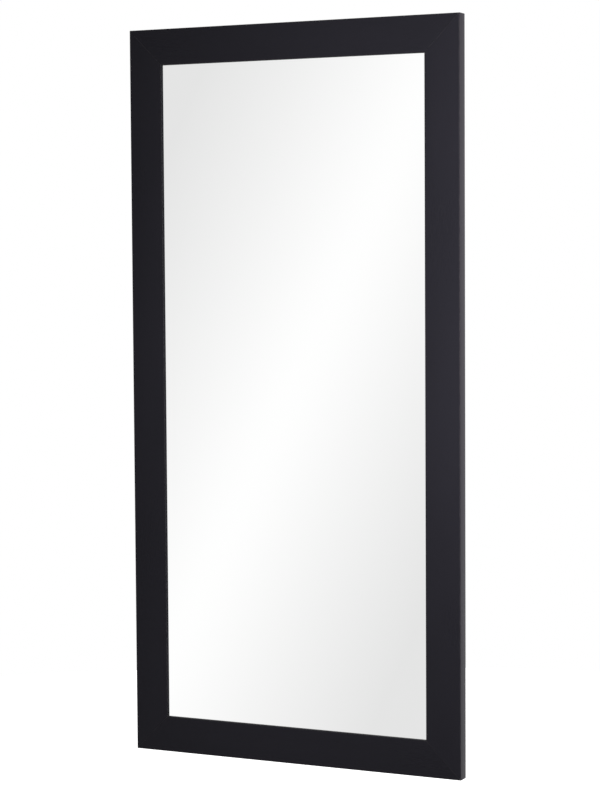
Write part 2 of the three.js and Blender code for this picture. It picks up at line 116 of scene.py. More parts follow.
class HardwareSettings(bpy.types.PropertyGroup):
    """Steel, plastic and rubber parts and their screws."""

    sheet_edge: length_property("Sheet edge", "Rounding of stamped steel edges", 0.3 * MM)
    tube_edge: length_property("Tube edge", "Rounding of sawn tube ends", 0.25 * MM)
    moulded_edge: length_property("Moulded edge", "Rounding of plastic and rubber edges", 0.7 * MM)
    pan_head_radius: length_property("Pan head radius", "Screws of clips and braces", 3.6 * MM)
    pan_head_height: length_property("Pan head height", "Screws of clips and braces", 1.9 * MM)
    bead_radius: length_property("Weld bead radius", "Beads between the tubes", 1.5 * MM)
    bead_ripple: length_property("Weld ripple", "Distance between ripples of a bead", 1.6 * MM)
    zinc: colour_property("Zinc", "Bright zinc plate", (0.46, 0.473, 0.497))
    powder: colour_property("Powder coat", "Black powder coat of the carriage", (0.014, 0.014, 0.0155))
    plastic: colour_property("Plastic", "Black moulded plastic", (0.012, 0.012, 0.013))
    nylon: colour_property("Nylon", "Bushes and washers", (0.7, 0.675, 0.6))
    rubber: colour_property("Rubber", "Buffers", (0.036, 0.036, 0.038))


class RunnerSettings(bpy.types.PropertyGroup):
    """Ball cages of the runners."""

    outer_ball: length_property("Outer ball", "Diameter of the outer balls", 3.8 * MM)
    inner_ball: length_property("Inner ball", "Diameter of the inner balls", 2.6 * MM)
    cage_sheet: length_property("Cage sheet", "Thickness of the cage strips", 0.6 * MM)
    balls_per_row: IntProperty(
        name="Balls per row", description="Balls in each row of a cage", default=6, min=2
    )
    row_share: FloatProperty(
        name="Row share", description="Share of a cage's length that its balls span", default=0.92,
        min=0.1, max=1, subtype="FACTOR",
    )


class StudioSettings(bpy.types.PropertyGroup):
    """Floor, lamps and backdrop."""

    floor_drop: length_property("Floor drop", "Floor below the mirror's lower edge", 0.4)
    floor_radius: length_property("Floor radius", "Radius of the floor sheet", 3.0)
    floor_colour: colour_property("Floor colour", "Pale floor", (0.8, 0.8, 0.8))
    ambient: FloatProperty(
        name="Ambient", description="Strength of the even light from the front", default=0.14
    )
    back_light: FloatProperty(
        name="Back light", description="Strength of the even light from behind", default=0.9
    )
    key_power: FloatProperty(
        name="Key power", description="Soft lamp at the front right", default=5.9, unit="POWER"
    )
    rim_power: FloatProperty(
        name="Rim power", description="Soft lamp behind, at the right", default=19.5, unit="POWER"
    )


# Node trees


class Tree:
    """Adds nodes to a node tree and joins them."""

    def __init__(self, tree):
        self.tree = tree

    def add(self, kind, inputs=None, **settings):
        node = self.tree.nodes.new(kind)
        for key, value in settings.items():
            setattr(node, key, value)
        for key, value in (inputs or {}).items():
            self.feed(node.inputs[key], value)
        return node

    def out(self, kind, inputs=None, output=0, **settings):
        """One output of a new node, its first where none is named."""
        return self.add(kind, inputs, **settings).outputs[output]

    def feed(self, socket, value):
        if isinstance(value, bpy.types.NodeSocket):
            self.tree.links.new(value, socket)
        else:
            socket.default_value = value

    def sum(self, operation, first, second=0.0, third=0.0):
        return self.out("ShaderNodeMath", {0: first, 1: second, 2: third}, operation=operation)

    def plus(self, first, second):
        return self.sum("ADD", first, second)

    def minus(self, first, second):
        return self.sum("SUBTRACT", first, second)

    def times(self, first, second):
        return self.sum("MULTIPLY", first, second)

    def parts(self, vector):
        return self.add("ShaderNodeSeparateXYZ", {0: vector}).outputs


class ShaderTree(Tree):
    """Shader nodes that materials and the world share."""

    def span(self, value, low, high, to_low=0.0, to_high=1.0):
        return self.out("ShaderNodeMapRange", {
            "Value": value, "From Min": low, "From Max": high, "To Min": to_low, "To Max": to_high,
        })

    def blend(self, factor, first, second):
        """The mix of two colours, which go in at sockets 6 and 7 and come out at socket 2."""
        return self.out("ShaderNodeMix", {0: factor, 6: first, 7: second}, 2, data_type="RGBA")

    def choose(self, factor, first, second):
        """The first shader where the factor is 0, and the second where it is 1."""
        return self.out("ShaderNodeMixShader", {0: factor, 1: first, 2: second})


def shade(colour, factor):
    return (colour[0] * factor, colour[1] * factor, colour[2] * factor, 1)


# Distances from a mitre at which its wear and painted highlight begin to fade and have gone
MITRE_WEAR_AND_HIGHLIGHT = (0.3 * MM, 0.75 * MM)


class Finish(ShaderTree):
    """A procedural material on one principled shader."""

    def __init__(self, name, constants):
        self.material = bpy.data.materials.new(name)
        self.material.use_nodes = True
        super().__init__(self.material.node_tree)
        self.tree.nodes.clear()
        self.shader = self.add("ShaderNodeBsdfPrincipled", constants)
        self.add("ShaderNodeOutputMaterial", {"Surface": self.shader.outputs[0]})
        self.place = self.out("ShaderNodeTexCoord", output="Object")

    def stored(self, name, output):
        """A value that the mesh keeps under the name."""
        return self.out("ShaderNodeAttribute", output=output, attribute_name=name)

    def noise(self, scale, detail=3.0, roughness=0.55, stretch=None, place=None, distortion=0.0):
        """Noise of so many waves to the metre, times the stretch along each axis where one is given."""
        vector = place or self.place
        if stretch:
            vector = self.out("ShaderNodeMapping", {"Vector": vector, "Scale": stretch})
        return self.out("ShaderNodeTexNoise", {
            "Vector": vector, "Scale": scale, "Detail": detail, "Roughness": roughness,
            "Distortion": distortion,
        })

    def cells(self, scale):
        """Distance from the middle of the nearest cell, of so many to the metre."""
        return self.out("ShaderNodeTexVoronoi", {"Vector": self.place, "Scale": scale}, "Distance")

    def toned(self, value, reach, colour, dark, light):
        """The colour, from its darker to its lighter shade over the value's reach."""
        return self.blend(self.span(value, *reach), shade(colour, dark), shade(colour, light))

    def from_mitre(self):
        """1 at the mitres of the front face, and 0 from three quarters of a millimetre on."""
        place = self.parts(self.place)
        from_side = self.minus(HALF_WIDTH, self.sum("ABSOLUTE", place["X"]))
        from_end = self.minus(HALF_HEIGHT, self.sum("ABSOLUTE", place["Z"]))
        away = self.sum("ABSOLUTE", self.minus(from_side, from_end))
        return self.span(away, *MITRE_WEAR_AND_HIGHLIGHT, 1, 0)

    def bump(self, height, distance, strength):
        return self.out("ShaderNodeBump", {"Height": height, "Distance": distance, "Strength": strength})

    def set(self, **values):
        for key, value in values.items():
            self.feed(self.shader.inputs[key.replace("_", " ")], value)
        return self.material


# Finishes

# Ranges that hold most of a noise's values, and nearly all of them
MIDDLE = (0.35, 0.65)
WIDE = (0.3, 0.7)

# Distances from the outer edge between which the foil's tint turns from the side's to the face's. The
# side's tint is painted, a colour cast that stands in for the sheen the side catches
SIDE_TINT_REACH = (0.3 * MM, 1.2 * MM)
PAINTED_SIDE_SHEEN_TINT = (1.03, 0.9, 1.0)
# Foil colour painted along arrises and mitres, partly wear and partly painted highlight
WORN_AND_HIGHLIT_FOIL = (0.06, 0.058, 0.058, 1)

# Depths under the glass's face between which mirror turns to edge, and under its back edge to paint
MIRROR_DEPTHS = (0.2 * MM, 0.5 * MM)
PAINT_DEPTHS = (0.3 * MM, 0.1 * MM)
GROUND_EDGE = ((0.12, 0.26, 0.2, 1), (0.2, 0.36, 0.29, 1))
BACK_PAINT = ((0.2, 0.21, 0.215, 1), (0.28, 0.29, 0.3, 1))

# Waves of rolled steel to the metre along each axis, and the least and most roughness of each plating
ROLLED_LEVEL = (70, 2600, 2600)
ROLLED_UPRIGHT = (2600, 2600, 70)
ZINC_GLOSS = (0.24, 0.36)
BLACK_ZINC = (0.07, 0.07, 0.076)
BLACK_ZINC_GLOSS = (0.3, 0.44)
BALL_STEEL = (0.66, 0.66, 0.67)
BALL_GLOSS = (0.08, 0.16)

# Moulded textures, as pits to the metre, their depth, and the least and most roughness
PLASTIC_TEXTURE = (2600, 0.06 * MM, 0.46, 0.6)
NYLON_TEXTURE = (1900, 0.03 * MM, 0.36, 0.5)
RUBBER_TEXTURE = (1500, 0.08 * MM, 0.74, 0.9)

# Half the magnet's thickness, its seam with a pole, and the darkest and lightest tone of both
MAGNET_HALF = 3.4 * MM
POLE_SEAM = 0.1 * MM
MAGNET_TONES = ((0.05, 0.048, 0.046, 1), (0.085, 0.082, 0.08, 1))
POLE_TONES = ((0.46, 0.46, 0.47, 1), (0.6, 0.6, 0.61, 1))


def foil_finish(colour):
    """Satin foil: faint streaks along each moulding, a fine grain, arrises and mitres painted lighter as
    wear and painted highlight, and a painted sheen tint on the outer side.
    """
    finish = Finish("satin_black_foil", {"Specular IOR Level": 0.055})
    along = finish.stored("along_moulding", "Vector")
    streaks = finish.noise(1, 2, 0.5, (1500, 1500, 110), along)
    clouds = finish.noise(9, 2, 0.5, (1, 1, 0.4), along)
    tone = finish.sum("MULTIPLY_ADD", clouds, 0.7, finish.times(streaks, 0.3))
    body = finish.toned(tone, MIDDLE, colour, 0.93, 1.07)
    # The outer side face gets a painted tint, a colour cast standing in for the sheen it catches
    side_tint_share = finish.span(finish.parts(along)["X"], *SIDE_TINT_REACH, 1, 0)
    side = [channel * tint for channel, tint in zip(colour, PAINTED_SIDE_SHEEN_TINT)]
    body = finish.blend(side_tint_share, body, (*side, 1))
    # Arrises and mitres are painted lighter, partly as wear and partly as painted highlight
    mitre = finish.times(finish.from_mitre(), 1.25)
    wear_and_highlight_patches = finish.span(finish.noise(60, 4, 0.7), 0.4, 0.75, 0.3, 1)
    wear_and_highlight = finish.times(finish.sum("MAXIMUM", finish.stored("edge_wear", "Fac"), mitre), wear_and_highlight_patches)
    grain = finish.noise(1, 3, 0.6, (2600, 2600, 700), along)
    relief = finish.sum("MULTIPLY_ADD", streaks, 0.15, grain)
    gloss = finish.span(tone, *WIDE, 0.27, 0.29)
    return finish.set(
        Base_Color=finish.blend(finish.times(wear_and_highlight, 0.5), body, WORN_AND_HIGHLIT_FOIL),
        Roughness=finish.sum("MULTIPLY_ADD", wear_and_highlight, 0.12, gloss),
        Normal=finish.bump(relief, 0.005 * MM, 0.5),
    )


def fibreboard_finish(colour):
    """Sawn fibreboard: fine fibres, darker flecks and a dull surface."""
    finish = Finish("bare_fibreboard", {"Specular IOR Level": 0.2})
    fibres = finish.noise(1700, 4, 0.7, distortion=0.6)
    flecks = finish.span(finish.cells(620), 0.05, 0.22)
    clouds = finish.span(finish.noise(22, 3), *MIDDLE, 0, 0.35)
    body = finish.toned(fibres, WIDE, colour, 0.72, 1.2)
    body = finish.blend(flecks, shade(colour, 0.45), body)
    return finish.set(
        Base_Color=finish.blend(clouds, body, shade(colour, 0.8)),
        Roughness=finish.span(fibres, *WIDE, 0.78, 0.92),
        Normal=finish.bump(fibres, 0.1 * MM, 0.6),
    )


def silver_finish(colour):
    """Silvered glass: a clean mirror on its face, a green ground edge and grey paint on its back."""
    finish = Finish("silvered_glass", {})
    depth = finish.parts(finish.place)["Y"]
    behind = finish.span(depth, *(glass_low.y + inwards for inwards in MIRROR_DEPTHS))
    painted = finish.span(depth, *(glass_high.y - inwards for inwards in PAINT_DEPTHS))
    face = finish.blend(finish.noise(1.3, 2), shade(colour, 0.992), shade(colour, 1))
    speckle = finish.noise(2600, 2)
    edge = finish.blend(speckle, *GROUND_EDGE)
    paint = finish.blend(speckle, *BACK_PAINT)
    gloss = finish.span(finish.noise(5, 2), *WIDE, 0.0, 0.004)
    return finish.set(
        Base_Color=finish.blend(behind, face, finish.blend(painted, edge, paint)),
        Metallic=finish.span(behind, 0, 1, 1, 0),
        Roughness=finish.sum("MULTIPLY_ADD", behind, 0.35, gloss),
    )


def hardboard_finish(colour):
    """Hardboard: pressed wood fibres with a faint sheen."""
    finish = Finish("pressed_hardboard", {"Specular IOR Level": 0.3})
    fibres = finish.noise(420, 5, 0.75, (1, 1, 0.35), distortion=1.4)
    flecks = finish.span(finish.cells(240), 0.03, 0.16)
    clouds = finish.span(finish.noise(7, 4, 0.6), *MIDDLE, 0, 0.4)
    body = finish.toned(fibres, (0.32, 0.68), colour, 0.68, 1.28)
    body = finish.blend(flecks, shade(colour, 0.5), body)
    return finish.set(
        Base_Color=finish.blend(clouds, body, shade(colour, 0.78)),
        Roughness=finish.span(fibres, *WIDE, 0.5, 0.68),
        Normal=finish.bump(fibres, 0.08 * MM, 0.5),
    )


def steel_finish(name, colour, gloss, rolled=ROLLED_LEVEL):
    """Plated steel: rolled streaks along the sheet, soft clouds of plating and fine scuffs."""
    finish = Finish(name, {"Metallic": 1.0})
    streaks = finish.noise(1, 4, 0.65, rolled)
    clouds = finish.noise(24, 2, 0.5)
    scuffs = finish.span(finish.noise(1, 2, 0.5, (900, 900, 90), distortion=2.0), 0.64, 0.72)
    tone = finish.sum("MULTIPLY_ADD", streaks, 0.55, finish.times(clouds, 0.45))
    body = finish.toned(tone, MIDDLE, colour, 0.9, 1.06)
    return finish.set(
        Base_Color=finish.blend(finish.times(scuffs, 0.14), body, shade(colour, 0.62)),
        Roughness=finish.span(tone, *MIDDLE, *gloss),
        Normal=finish.bump(streaks, 0.02 * MM, 0.3),
    )


def powder_finish(colour):
    """Powder coat: fine orange peel with sparse gloss changes."""
    finish = Finish("powder_coat", {"Specular IOR Level": 0.45})
    peel = finish.noise(1500, 2, 0.5)
    relief = finish.sum("MULTIPLY_ADD", finish.noise(4200, 3, 0.6), 0.35, peel)
    return finish.set(
        Base_Color=finish.toned(peel, MIDDLE, colour, 0.8, 1.25),
        Roughness=finish.span(finish.noise(14, 3), *MIDDLE, 0.42, 0.52),
        Normal=finish.bump(relief, 0.09 * MM, 0.55),
    )


def moulded_finish(name, colour, pits, depth, smooth, rough):
    """Moulded plastic, nylon or rubber: a spark-eroded texture and slight clouds."""
    finish = Finish(name, {"Specular IOR Level": 0.4})
    return finish.set(
        Base_Color=finish.toned(finish.noise(40, 3), WIDE, colour, 0.85, 1.12),
        Roughness=finish.span(finish.noise(pits * 0.6, 2), *WIDE, smooth, rough),
        Normal=finish.bump(finish.cells(pits), depth, 0.5),
    )


def magnet_finish():
    """Ground magnet between two steel poles, which lie along its long sides."""
    finish = Finish("magnet_and_poles", {})
    across = finish.parts(finish.place)["X"]
    from_middle = finish.sum("ABSOLUTE", finish.minus(across, middle_of("catch_magnet").x))
    pole = finish.span(from_middle, MAGNET_HALF, MAGNET_HALF + POLE_SEAM)
    ground = finish.noise(1, 3, 0.6, (2600, 2600, 140))
    tones = (finish.blend(ground, *ends) for ends in (MAGNET_TONES, POLE_TONES))
    return finish.set(
        Base_Color=finish.blend(pole, *tones),
        Metallic=pole,
        Roughness=finish.span(ground, *WIDE, 0.3, 0.5),
        Normal=finish.bump(ground, 0.02 * MM, 0.4),
    )


FINISHES = {}


def finish_for(name):
    """The material of a finish, made at its first use."""
    if name not in FINISHES:
        scene = bpy.context.scene
        looks, metal = scene.mirror_frame, scene.mirror_hardware
        makers = {
            "foil": lambda: foil_finish(looks.foil),
            "fibreboard": lambda: fibreboard_finish(looks.fibreboard),
            "silver": lambda: silver_finish(looks.silver),
            "hardboard": lambda: hardboard_finish(looks.hardboard),
            "zinc": lambda: steel_finish("bright_zinc_plate", metal.zinc, ZINC_GLOSS),
            "zinc_upright": lambda: steel_finish(
                "bright_zinc_upright", metal.zinc, ZINC_GLOSS, ROLLED_UPRIGHT
            ),
            "hardened": lambda: steel_finish("polished_balls", BALL_STEEL, BALL_GLOSS),
            "black_zinc": lambda: steel_finish("black_zinc_plate", BLACK_ZINC, BLACK_ZINC_GLOSS),
            "powder": lambda: powder_finish(metal.powder),
            "plastic": lambda: moulded_finish("moulded_black_plastic", metal.plastic, *PLASTIC_TEXTURE),
            "nylon": lambda: moulded_finish("turned_nylon", metal.nylon, *NYLON_TEXTURE),
            "rubber": lambda: moulded_finish("moulded_rubber", metal.rubber, *RUBBER_TEXTURE),
            "magnet": magnet_finish,
        }
        FINISHES[name] = makers[name]()
    return FINISHES[name]


# Making pieces

# Vertices nearer than this are one, in a node's copy and in a drawn section
COPY_SEAM = 0.002 * MM
DRAWN_SEAM = 0.001 * MM
FLAT_WITHIN = math.radians(0.5)

# Steps of a rounding that is a plain chamfer, small, or in full view, and the angle from which an edge
# is rounded
CHAMFER = 1
SMALL_ROUND = 2
FULL_ROUND = 3
EASED_FROM = math.radians(32)


def linked(name, data):
    thing = bpy.data.objects.new(name, data)
    bpy.context.scene.collection.objects.link(thing)
    return thing


def smoothed(thing):
    for polygon in thing.data.polygons:
        polygon.use_smooth = True


def settled(thing):
    """Puts the object's modifiers into its mesh and removes them."""
    depsgraph = bpy.context.evaluated_depsgraph_get()
    mesh = bpy.data.meshes.new_from_object(thing.evaluated_get(depsgraph), depsgraph=depsgraph)
    thing.modifiers.clear()
    mesh.name = thing.name
    thing.data = mesh
    return thing


def eased(thing, width, segments=SMALL_ROUND, angle=EASED_FROM, edge_finish=None):
    """Rounds the object's sharp edges, in their own finish where given, and shades the rest flat."""
    smoothed(thing)
    bevel = thing.modifiers.new("eased_edges", "BEVEL")
    bevel.width = width
    bevel.segments = segments
    bevel.limit_method = "ANGLE"
    bevel.angle_limit = angle
    bevel.use_clamp_overlap = True
    bevel.harden_normals = True
    if edge_finish:
        bevel.material = thing.data.materials.find(edge_finish.name)
    return settled(thing)


def merged_copy(node, name):
    """A copy of a CAD node with its loose triangles merged into faces."""
    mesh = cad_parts[node].data.copy()
    shape = bmesh.new()
    shape.from_mesh(mesh)
    bmesh.ops.remove_doubles(shape, verts=shape.verts, dist=COPY_SEAM)
    bmesh.ops.dissolve_limit(
        shape, angle_limit=FLAT_WITHIN, use_dissolve_boundaries=False, verts=shape.verts, edges=shape.edges
    )
    shape.to_mesh(mesh)
    shape.free()
    mesh.materials.clear()
    while mesh.attributes.get("custom_normal"):
        mesh.attributes.remove(mesh.attributes["custom_normal"])
    return linked(name, mesh)


def placed(thing, body, nodes=(), finish=None):
    """Sets the piece's finish and the body that it rides on, and hides the nodes that it stands for."""
    if finish:
        thing.data.materials.clear()
        thing.data.materials.append(finish_for(finish))
    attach(thing, body)
    if nodes:
        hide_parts(*nodes)


def refined(node, body, finish, width, segments=SMALL_ROUND):
    """Puts the node's merged copy, with eased edges, in place of the node."""
    thing = eased(merged_copy(node, f"{node}_finished"), width, segments)
    placed(thing, body, [node], finish)


class Shaper(Tree):
    """A geometry tree with named inputs, and the steps that the trees here share."""

    def __init__(self, name, inputs):
        super().__init__(bpy.data.node_groups.new(name, "GeometryNodeTree"))
        sockets = self.tree.interface
        for way in ("INPUT", "OUTPUT"):
            sockets.new_socket("Geometry", in_out=way, socket_type="NodeSocketGeometry")
        for label, kind in inputs.items():
            sockets.new_socket(label, in_out="INPUT", socket_type=f"NodeSocket{kind}")
        self.given = self.add("NodeGroupInput").outputs
        self.place = self.out("GeometryNodeInputPosition")

    def vector(self, x=0.0, y=0.0, z=0.0):
        return self.out("ShaderNodeCombineXYZ", {0: x, 1: y, 2: z})

    def join(self, *geometries):
        node = self.add("GeometryNodeJoinGeometry")
        for geometry in geometries:
            self.feed(node.inputs[0], geometry)
        return node.outputs[0]

    def drawn_out(self, section, offset):
        """The section object's face drawn out by the offset, as a closed solid."""
        face = self.out("GeometryNodeObjectInfo", {0: section}, "Geometry")
        drawn = self.out("GeometryNodeExtrudeMesh", {"Mesh": face, "Offset": offset})
        start = self.out("GeometryNodeFlipFaces", {0: face})
        return self.out("GeometryNodeMergeByDistance", {0: self.join(drawn, start), "Distance": DRAWN_SEAM})

    def reshaped(self, geometry, x, y, z):
        return self.out("GeometryNodeSetPosition", {"Geometry": geometry, "Position": self.vector(x, y, z)})

    def moved(self, geometry, offset):
        return self.out("GeometryNodeTransform", {"Geometry": geometry, "Translation": offset})

    def line(self, count, start, offset):
        return self.out("GeometryNodeMeshLine", {"Count": count, "Start Location": start, "Offset": offset})

    def at_points(self, points, instance, rotation=(0, 0, 0)):
        return self.out("GeometryNodeInstanceOnPoints", {
            "Points": points, "Instance": instance, "Rotation": rotation,
        })

    def noted(self, geometry, name, value, kind):
        """The geometry, with the value kept at its points under the name."""
        inputs = {"Geometry": geometry, "Name": name, "Value": value}
        return self.out("GeometryNodeStoreNamedAttribute", inputs, data_type=kind, domain="POINT")

    def recall(self, name, kind):
        return self.out("GeometryNodeInputNamedAttribute", {"Name": name}, data_type=kind)

    def coated(self, geometry, material, where=True):
        return self.out("GeometryNodeSetMaterial", {
            "Geometry": geometry, "Selection": where, "Material": material,
        })

    def realized(self, geometry):
        return self.out("GeometryNodeRealizeInstances", {"Geometry": geometry})

    def end(self, geometry):
        self.add("NodeGroupOutput", {0: geometry})
        return self.tree


def shaped(tree, name, values, source=None):
    """The plain mesh that a geometry tree makes from its inputs and, where given, a source mesh."""
    thing = linked(name, source or bpy.data.meshes.new(name))
    modifier = thing.modifiers.new("maker", "NODES")
    modifier.node_group = tree
    for item in tree.interface.items_tree:
        if item.in_out == "INPUT" and item.name in values:
            modifier[item.identifier] = values[item.name]
    return settled(thing)


def section_object(points):
    """A flat face through the points, for a tree to draw out."""
    mesh = bpy.data.meshes.new("section")
    mesh.from_pydata([tuple(point) for point in points], [], [list(range(len(points)))])
    return linked("section", mesh)


# Camera and studio

# The photograph's viewpoint, turn, dip and tilt, its lens for a 36 mm sensor, and its frame in pixels
CAMERA_PLACE = Vector((1.5795, -3.33337, 0.2253))
CAMERA_TURN = math.radians(25.579)
CAMERA_DIP = math.radians(3.637)
CAMERA_TILT = math.radians(0.361)
CAMERA_LENS = 101.36
CAMERA_CLIP = (0.05, 60)
SENSOR = 36.0
PICTURE = (600, 800)

# Two points of the picture on the bright band that the mirror shows, the half widths of its even core and
# of the whole, its brightness at core and foot, and a slight fall between the offsets further away
BAND_POINTS = ((396, 160), (179, 640))
BAND_CORE = 0.012
BAND_HALF_WIDTH = 0.094
BAND_PEAK = 1.005
BAND_FOOT = 0.903
FAR_OFFSETS = (0.25, 0.9)
FAR_FALL = -0.06

# A way's Y between which gloss comes to see plain white, and between which the even light changes
WHITE_TURN = (-0.05, 0.25)
LIGHT_TURN = (-0.3, 0.4)

# Power that turns a brightness on the screen into light
DISPLAY_POWER = 2.25
WHITE = (1, 1, 1, 1)

# The floor's glow for the camera, by distance from its middle, and each lamp's place, aim and size
FLOOR_SIDES = 96
GLOW_REACH = (0.4, 1.5)
GLOW = (0.56, 0.98)
KEY_LAMP = ((1.3, -1.2, 0.55), (0.34, 0, 0.15), (0.5, 1.1))
KEY_SPREAD = 60
RIM_LAMP = ((2.0, 3.4, -0.5), (0.2, 0, -0.15), (2.8, 3.2))


def camera_axes():
    ahead = Vector((
        -math.sin(CAMERA_TURN) * math.cos(CAMERA_DIP),
        math.cos(CAMERA_TURN) * math.cos(CAMERA_DIP),
        -math.sin(CAMERA_DIP),
    ))
    level = Vector((math.cos(CAMERA_TURN), math.sin(CAMERA_TURN), 0))
    below = ahead.cross(level)
    right = math.cos(CAMERA_TILT) * level + math.sin(CAMERA_TILT) * below
    down = -math.sin(CAMERA_TILT) * level + math.cos(CAMERA_TILT) * below
    return right, down, ahead


def ray_through(pixel):
    right, down, ahead = camera_axes()
    focal = CAMERA_LENS / SENSOR * max(PICTURE)
    across = (pixel[0] - PICTURE[0] / 2) / focal
    along = (pixel[1] - PICTURE[1] / 2) / focal
    return (ahead + across * right + along * down).normalized()


class CLOSETMIRROR_OT_camera(bpy.types.Operator):
    """Camera at the photograph's viewpoint"""

    bl_idname = "closetmirror.camera"
    bl_label = "Camera"

    def execute(self, context):
        right, down, ahead = camera_axes()
        data = bpy.data.cameras.new("camera")
        data.lens = CAMERA_LENS
        data.sensor_width = SENSOR
        data.sensor_fit = "AUTO"
        data.clip_start, data.clip_end = CAMERA_CLIP
        camera = linked("camera", data)
        turned = Matrix((right, -down, -ahead)).transposed().to_4x4()
        camera.matrix_world = Matrix.Translation(CAMERA_PLACE) @ turned
        context.scene.camera = camera
        return {"FINISHED"}


def build_world(settings):
    """Even light for the object, white for the camera, and a soft bright band for mirrors and gloss."""
    world = bpy.data.worlds.new("studio_surround")
    bpy.context.scene.world = world
    world.use_nodes = True
    nodes = ShaderTree(world.node_tree)
    nodes.tree.nodes.clear()
    rays = nodes.add("ShaderNodeLightPath").outputs
    way = nodes.out("ShaderNodeTexCoord", output="Generated")

    first, second = (ray_through(point) for point in BAND_POINTS)
    mirrored = Vector((1, -1, 1))
    across = (first * mirrored).cross(second * mirrored).normalized()
    unit = nodes.out("ShaderNodeVectorMath", {0: way}, operation="NORMALIZE")
    offset = nodes.out("ShaderNodeVectorMath", {0: unit, 1: across}, "Value", operation="DOT_PRODUCT")
    away = nodes.sum("SQRT", nodes.sum("MULTIPLY_ADD", offset, offset, BAND_CORE ** 2))
    near = nodes.span(away, BAND_CORE, BAND_HALF_WIDTH, BAND_PEAK, BAND_FOOT)
    far = nodes.span(away, *FAR_OFFSETS, 0, FAR_FALL)
    behind = nodes.parts(unit)["Y"]
    shown = nodes.span(nodes.span(behind, *WHITE_TURN), 0.0, 1.0, nodes.plus(near, far), 1.0)
    linear = nodes.sum("POWER", shown, DISPLAY_POWER)
    tint = nodes.out("ShaderNodeCombineColor", {0: linear, 1: linear, 2: linear})

    from_behind = nodes.span(behind, *LIGHT_TURN, settings.ambient, settings.back_light)
    even, white, band = (
        nodes.out("ShaderNodeBackground", {"Color": colour, "Strength": strength})
        for colour, strength in ((WHITE, from_behind), (WHITE, 1.0), (tint, 1.0))
    )
    reflected = nodes.sum("MAXIMUM", rays["Is Glossy Ray"], rays["Is Transmission Ray"])
    mixed = nodes.choose(rays["Is Camera Ray"], nodes.choose(reflected, even, band), white)
    nodes.add("ShaderNodeOutputWorld", {"Surface": mixed})


def build_floor(settings):
    """Pale round floor that reads white away from the object's shadow."""
    level = Matrix.Translation((0, 0, -HALF_HEIGHT - settings.floor_drop))
    shape = bmesh.new()
    bmesh.ops.create_circle(
        shape, cap_ends=True, radius=settings.floor_radius, segments=FLOOR_SIDES, matrix=level
    )
    mesh = bpy.data.meshes.new("studio_floor")
    shape.to_mesh(mesh)
    shape.free()

    material = bpy.data.materials.new("studio_floor_paper")
    material.use_nodes = True
    nodes = ShaderTree(material.node_tree)
    nodes.tree.nodes.clear()
    rays = nodes.add("ShaderNodeLightPath").outputs
    place = nodes.out("ShaderNodeTexCoord", output="Object")
    flat = nodes.out("ShaderNodeVectorMath", {0: place, 1: (1, 1, 0)}, operation="MULTIPLY")
    reach = nodes.out("ShaderNodeVectorMath", {0: flat}, "Value", operation="LENGTH")
    paper = nodes.out("ShaderNodeBsdfDiffuse", {"Color": (*settings.floor_colour, 1)})
    glow = nodes.span(reach, *GLOW_REACH, *GLOW)
    glowing = nodes.out("ShaderNodeEmission", {"Color": WHITE, "Strength": glow})
    seen = nodes.out("ShaderNodeAddShader", {0: paper, 1: glowing})
    direct = nodes.sum("MAXIMUM", rays["Is Camera Ray"], rays["Is Transmission Ray"])
    clear = nodes.out("ShaderNodeBsdfTransparent")
    mixed = nodes.choose(rays["Is Glossy Ray"], nodes.choose(direct, paper, seen), clear)
    nodes.add("ShaderNodeOutputMaterial", {"Surface": mixed})
    mesh.materials.append(material)
    linked("studio_floor", mesh)


def build_lamp(name, place, aim, size, power, spread=180, in_gloss=True):
    """Soft box, with a grid where a spread is given, which gloss and mirrors may leave out."""
    data = bpy.data.lights.new(name, "AREA")
    data.spread = math.radians(spread)
    data.shape = "RECTANGLE"
    data.size, data.size_y = size
    data.energy = power
    lamp = linked(name, data)
    lamp.visible_glossy = in_gloss
    lamp.location = place
    lamp.rotation_euler = (Vector(aim) - Vector(place)).to_track_quat("-Z", "Y").to_euler()


class CLOSETMIRROR_OT_studio(bpy.types.Operator):
    """Pale floor, soft lamps and a white surround"""

    bl_idname = "closetmirror.studio"
    bl_label = "Studio"

    def execute(self, context):
        settings = context.scene.mirror_studio
        build_world(settings)
        build_floor(settings)
        build_lamp("key_lamp", *KEY_LAMP, settings.key_power, KEY_SPREAD, in_gloss=False)
        build_lamp("rim_lamp", *RIM_LAMP, settings.rim_power)
        context.scene.view_settings.view_transform = "Standard"
        return {"FINISHED"}


# Frame and glass

# The board is bare from this far behind the lip and inside the outer edge, and its foil is painted lighter
# within a band along each arris, as wear and as painted highlight
BARE_BEHIND = 0.1 * MM
BARE_INSIDE = 0.5 * MM
WEAR_AND_HIGHLIGHT_BAND = 1.2 * MM
ARC_STEPS = 4
MITRE_EASED_FROM = math.radians(40)
GLASS_ARRIS = 0.8 * MM
BOARD_EDGE = 0.3 * MM


def rounded_corner(corner, before, after, radius):
    """Points of an arc that replaces a right-angled corner."""
    first = corner + (before - corner).normalized() * radius
    last = corner + (after - corner).normalized() * radius
    centre = first + last - corner
    arc = []
    for i in range(ARC_STEPS + 1):
        angle = math.pi / 2 * i / ARC_STEPS
        arc.append(centre + (first - centre) * math.cos(angle) + (last - centre) * math.sin(angle))
    return arc


def moulding_section(settings):
    """Section of the left stile in (x, y), with x from the outer edge inwards."""
    width, inset = settings.moulding_width, settings.rebate_inset
    lip = FRONT_Y + settings.lip_depth
    back, outer, inner, lip_edge, lip_root, rebate_edge = (Vector((x, y, 0)) for x, y in (
        (0, BACK_Y), (0, FRONT_Y), (width, FRONT_Y), (width, lip), (inset, lip), (inset, BACK_Y),
    ))
    return [
        back,
        *rounded_corner(outer, back, inner, settings.arris),
        *rounded_corner(inner, outer, lip_edge, settings.arris),
        lip_edge,
        lip_root,
        rebate_edge,
    ]


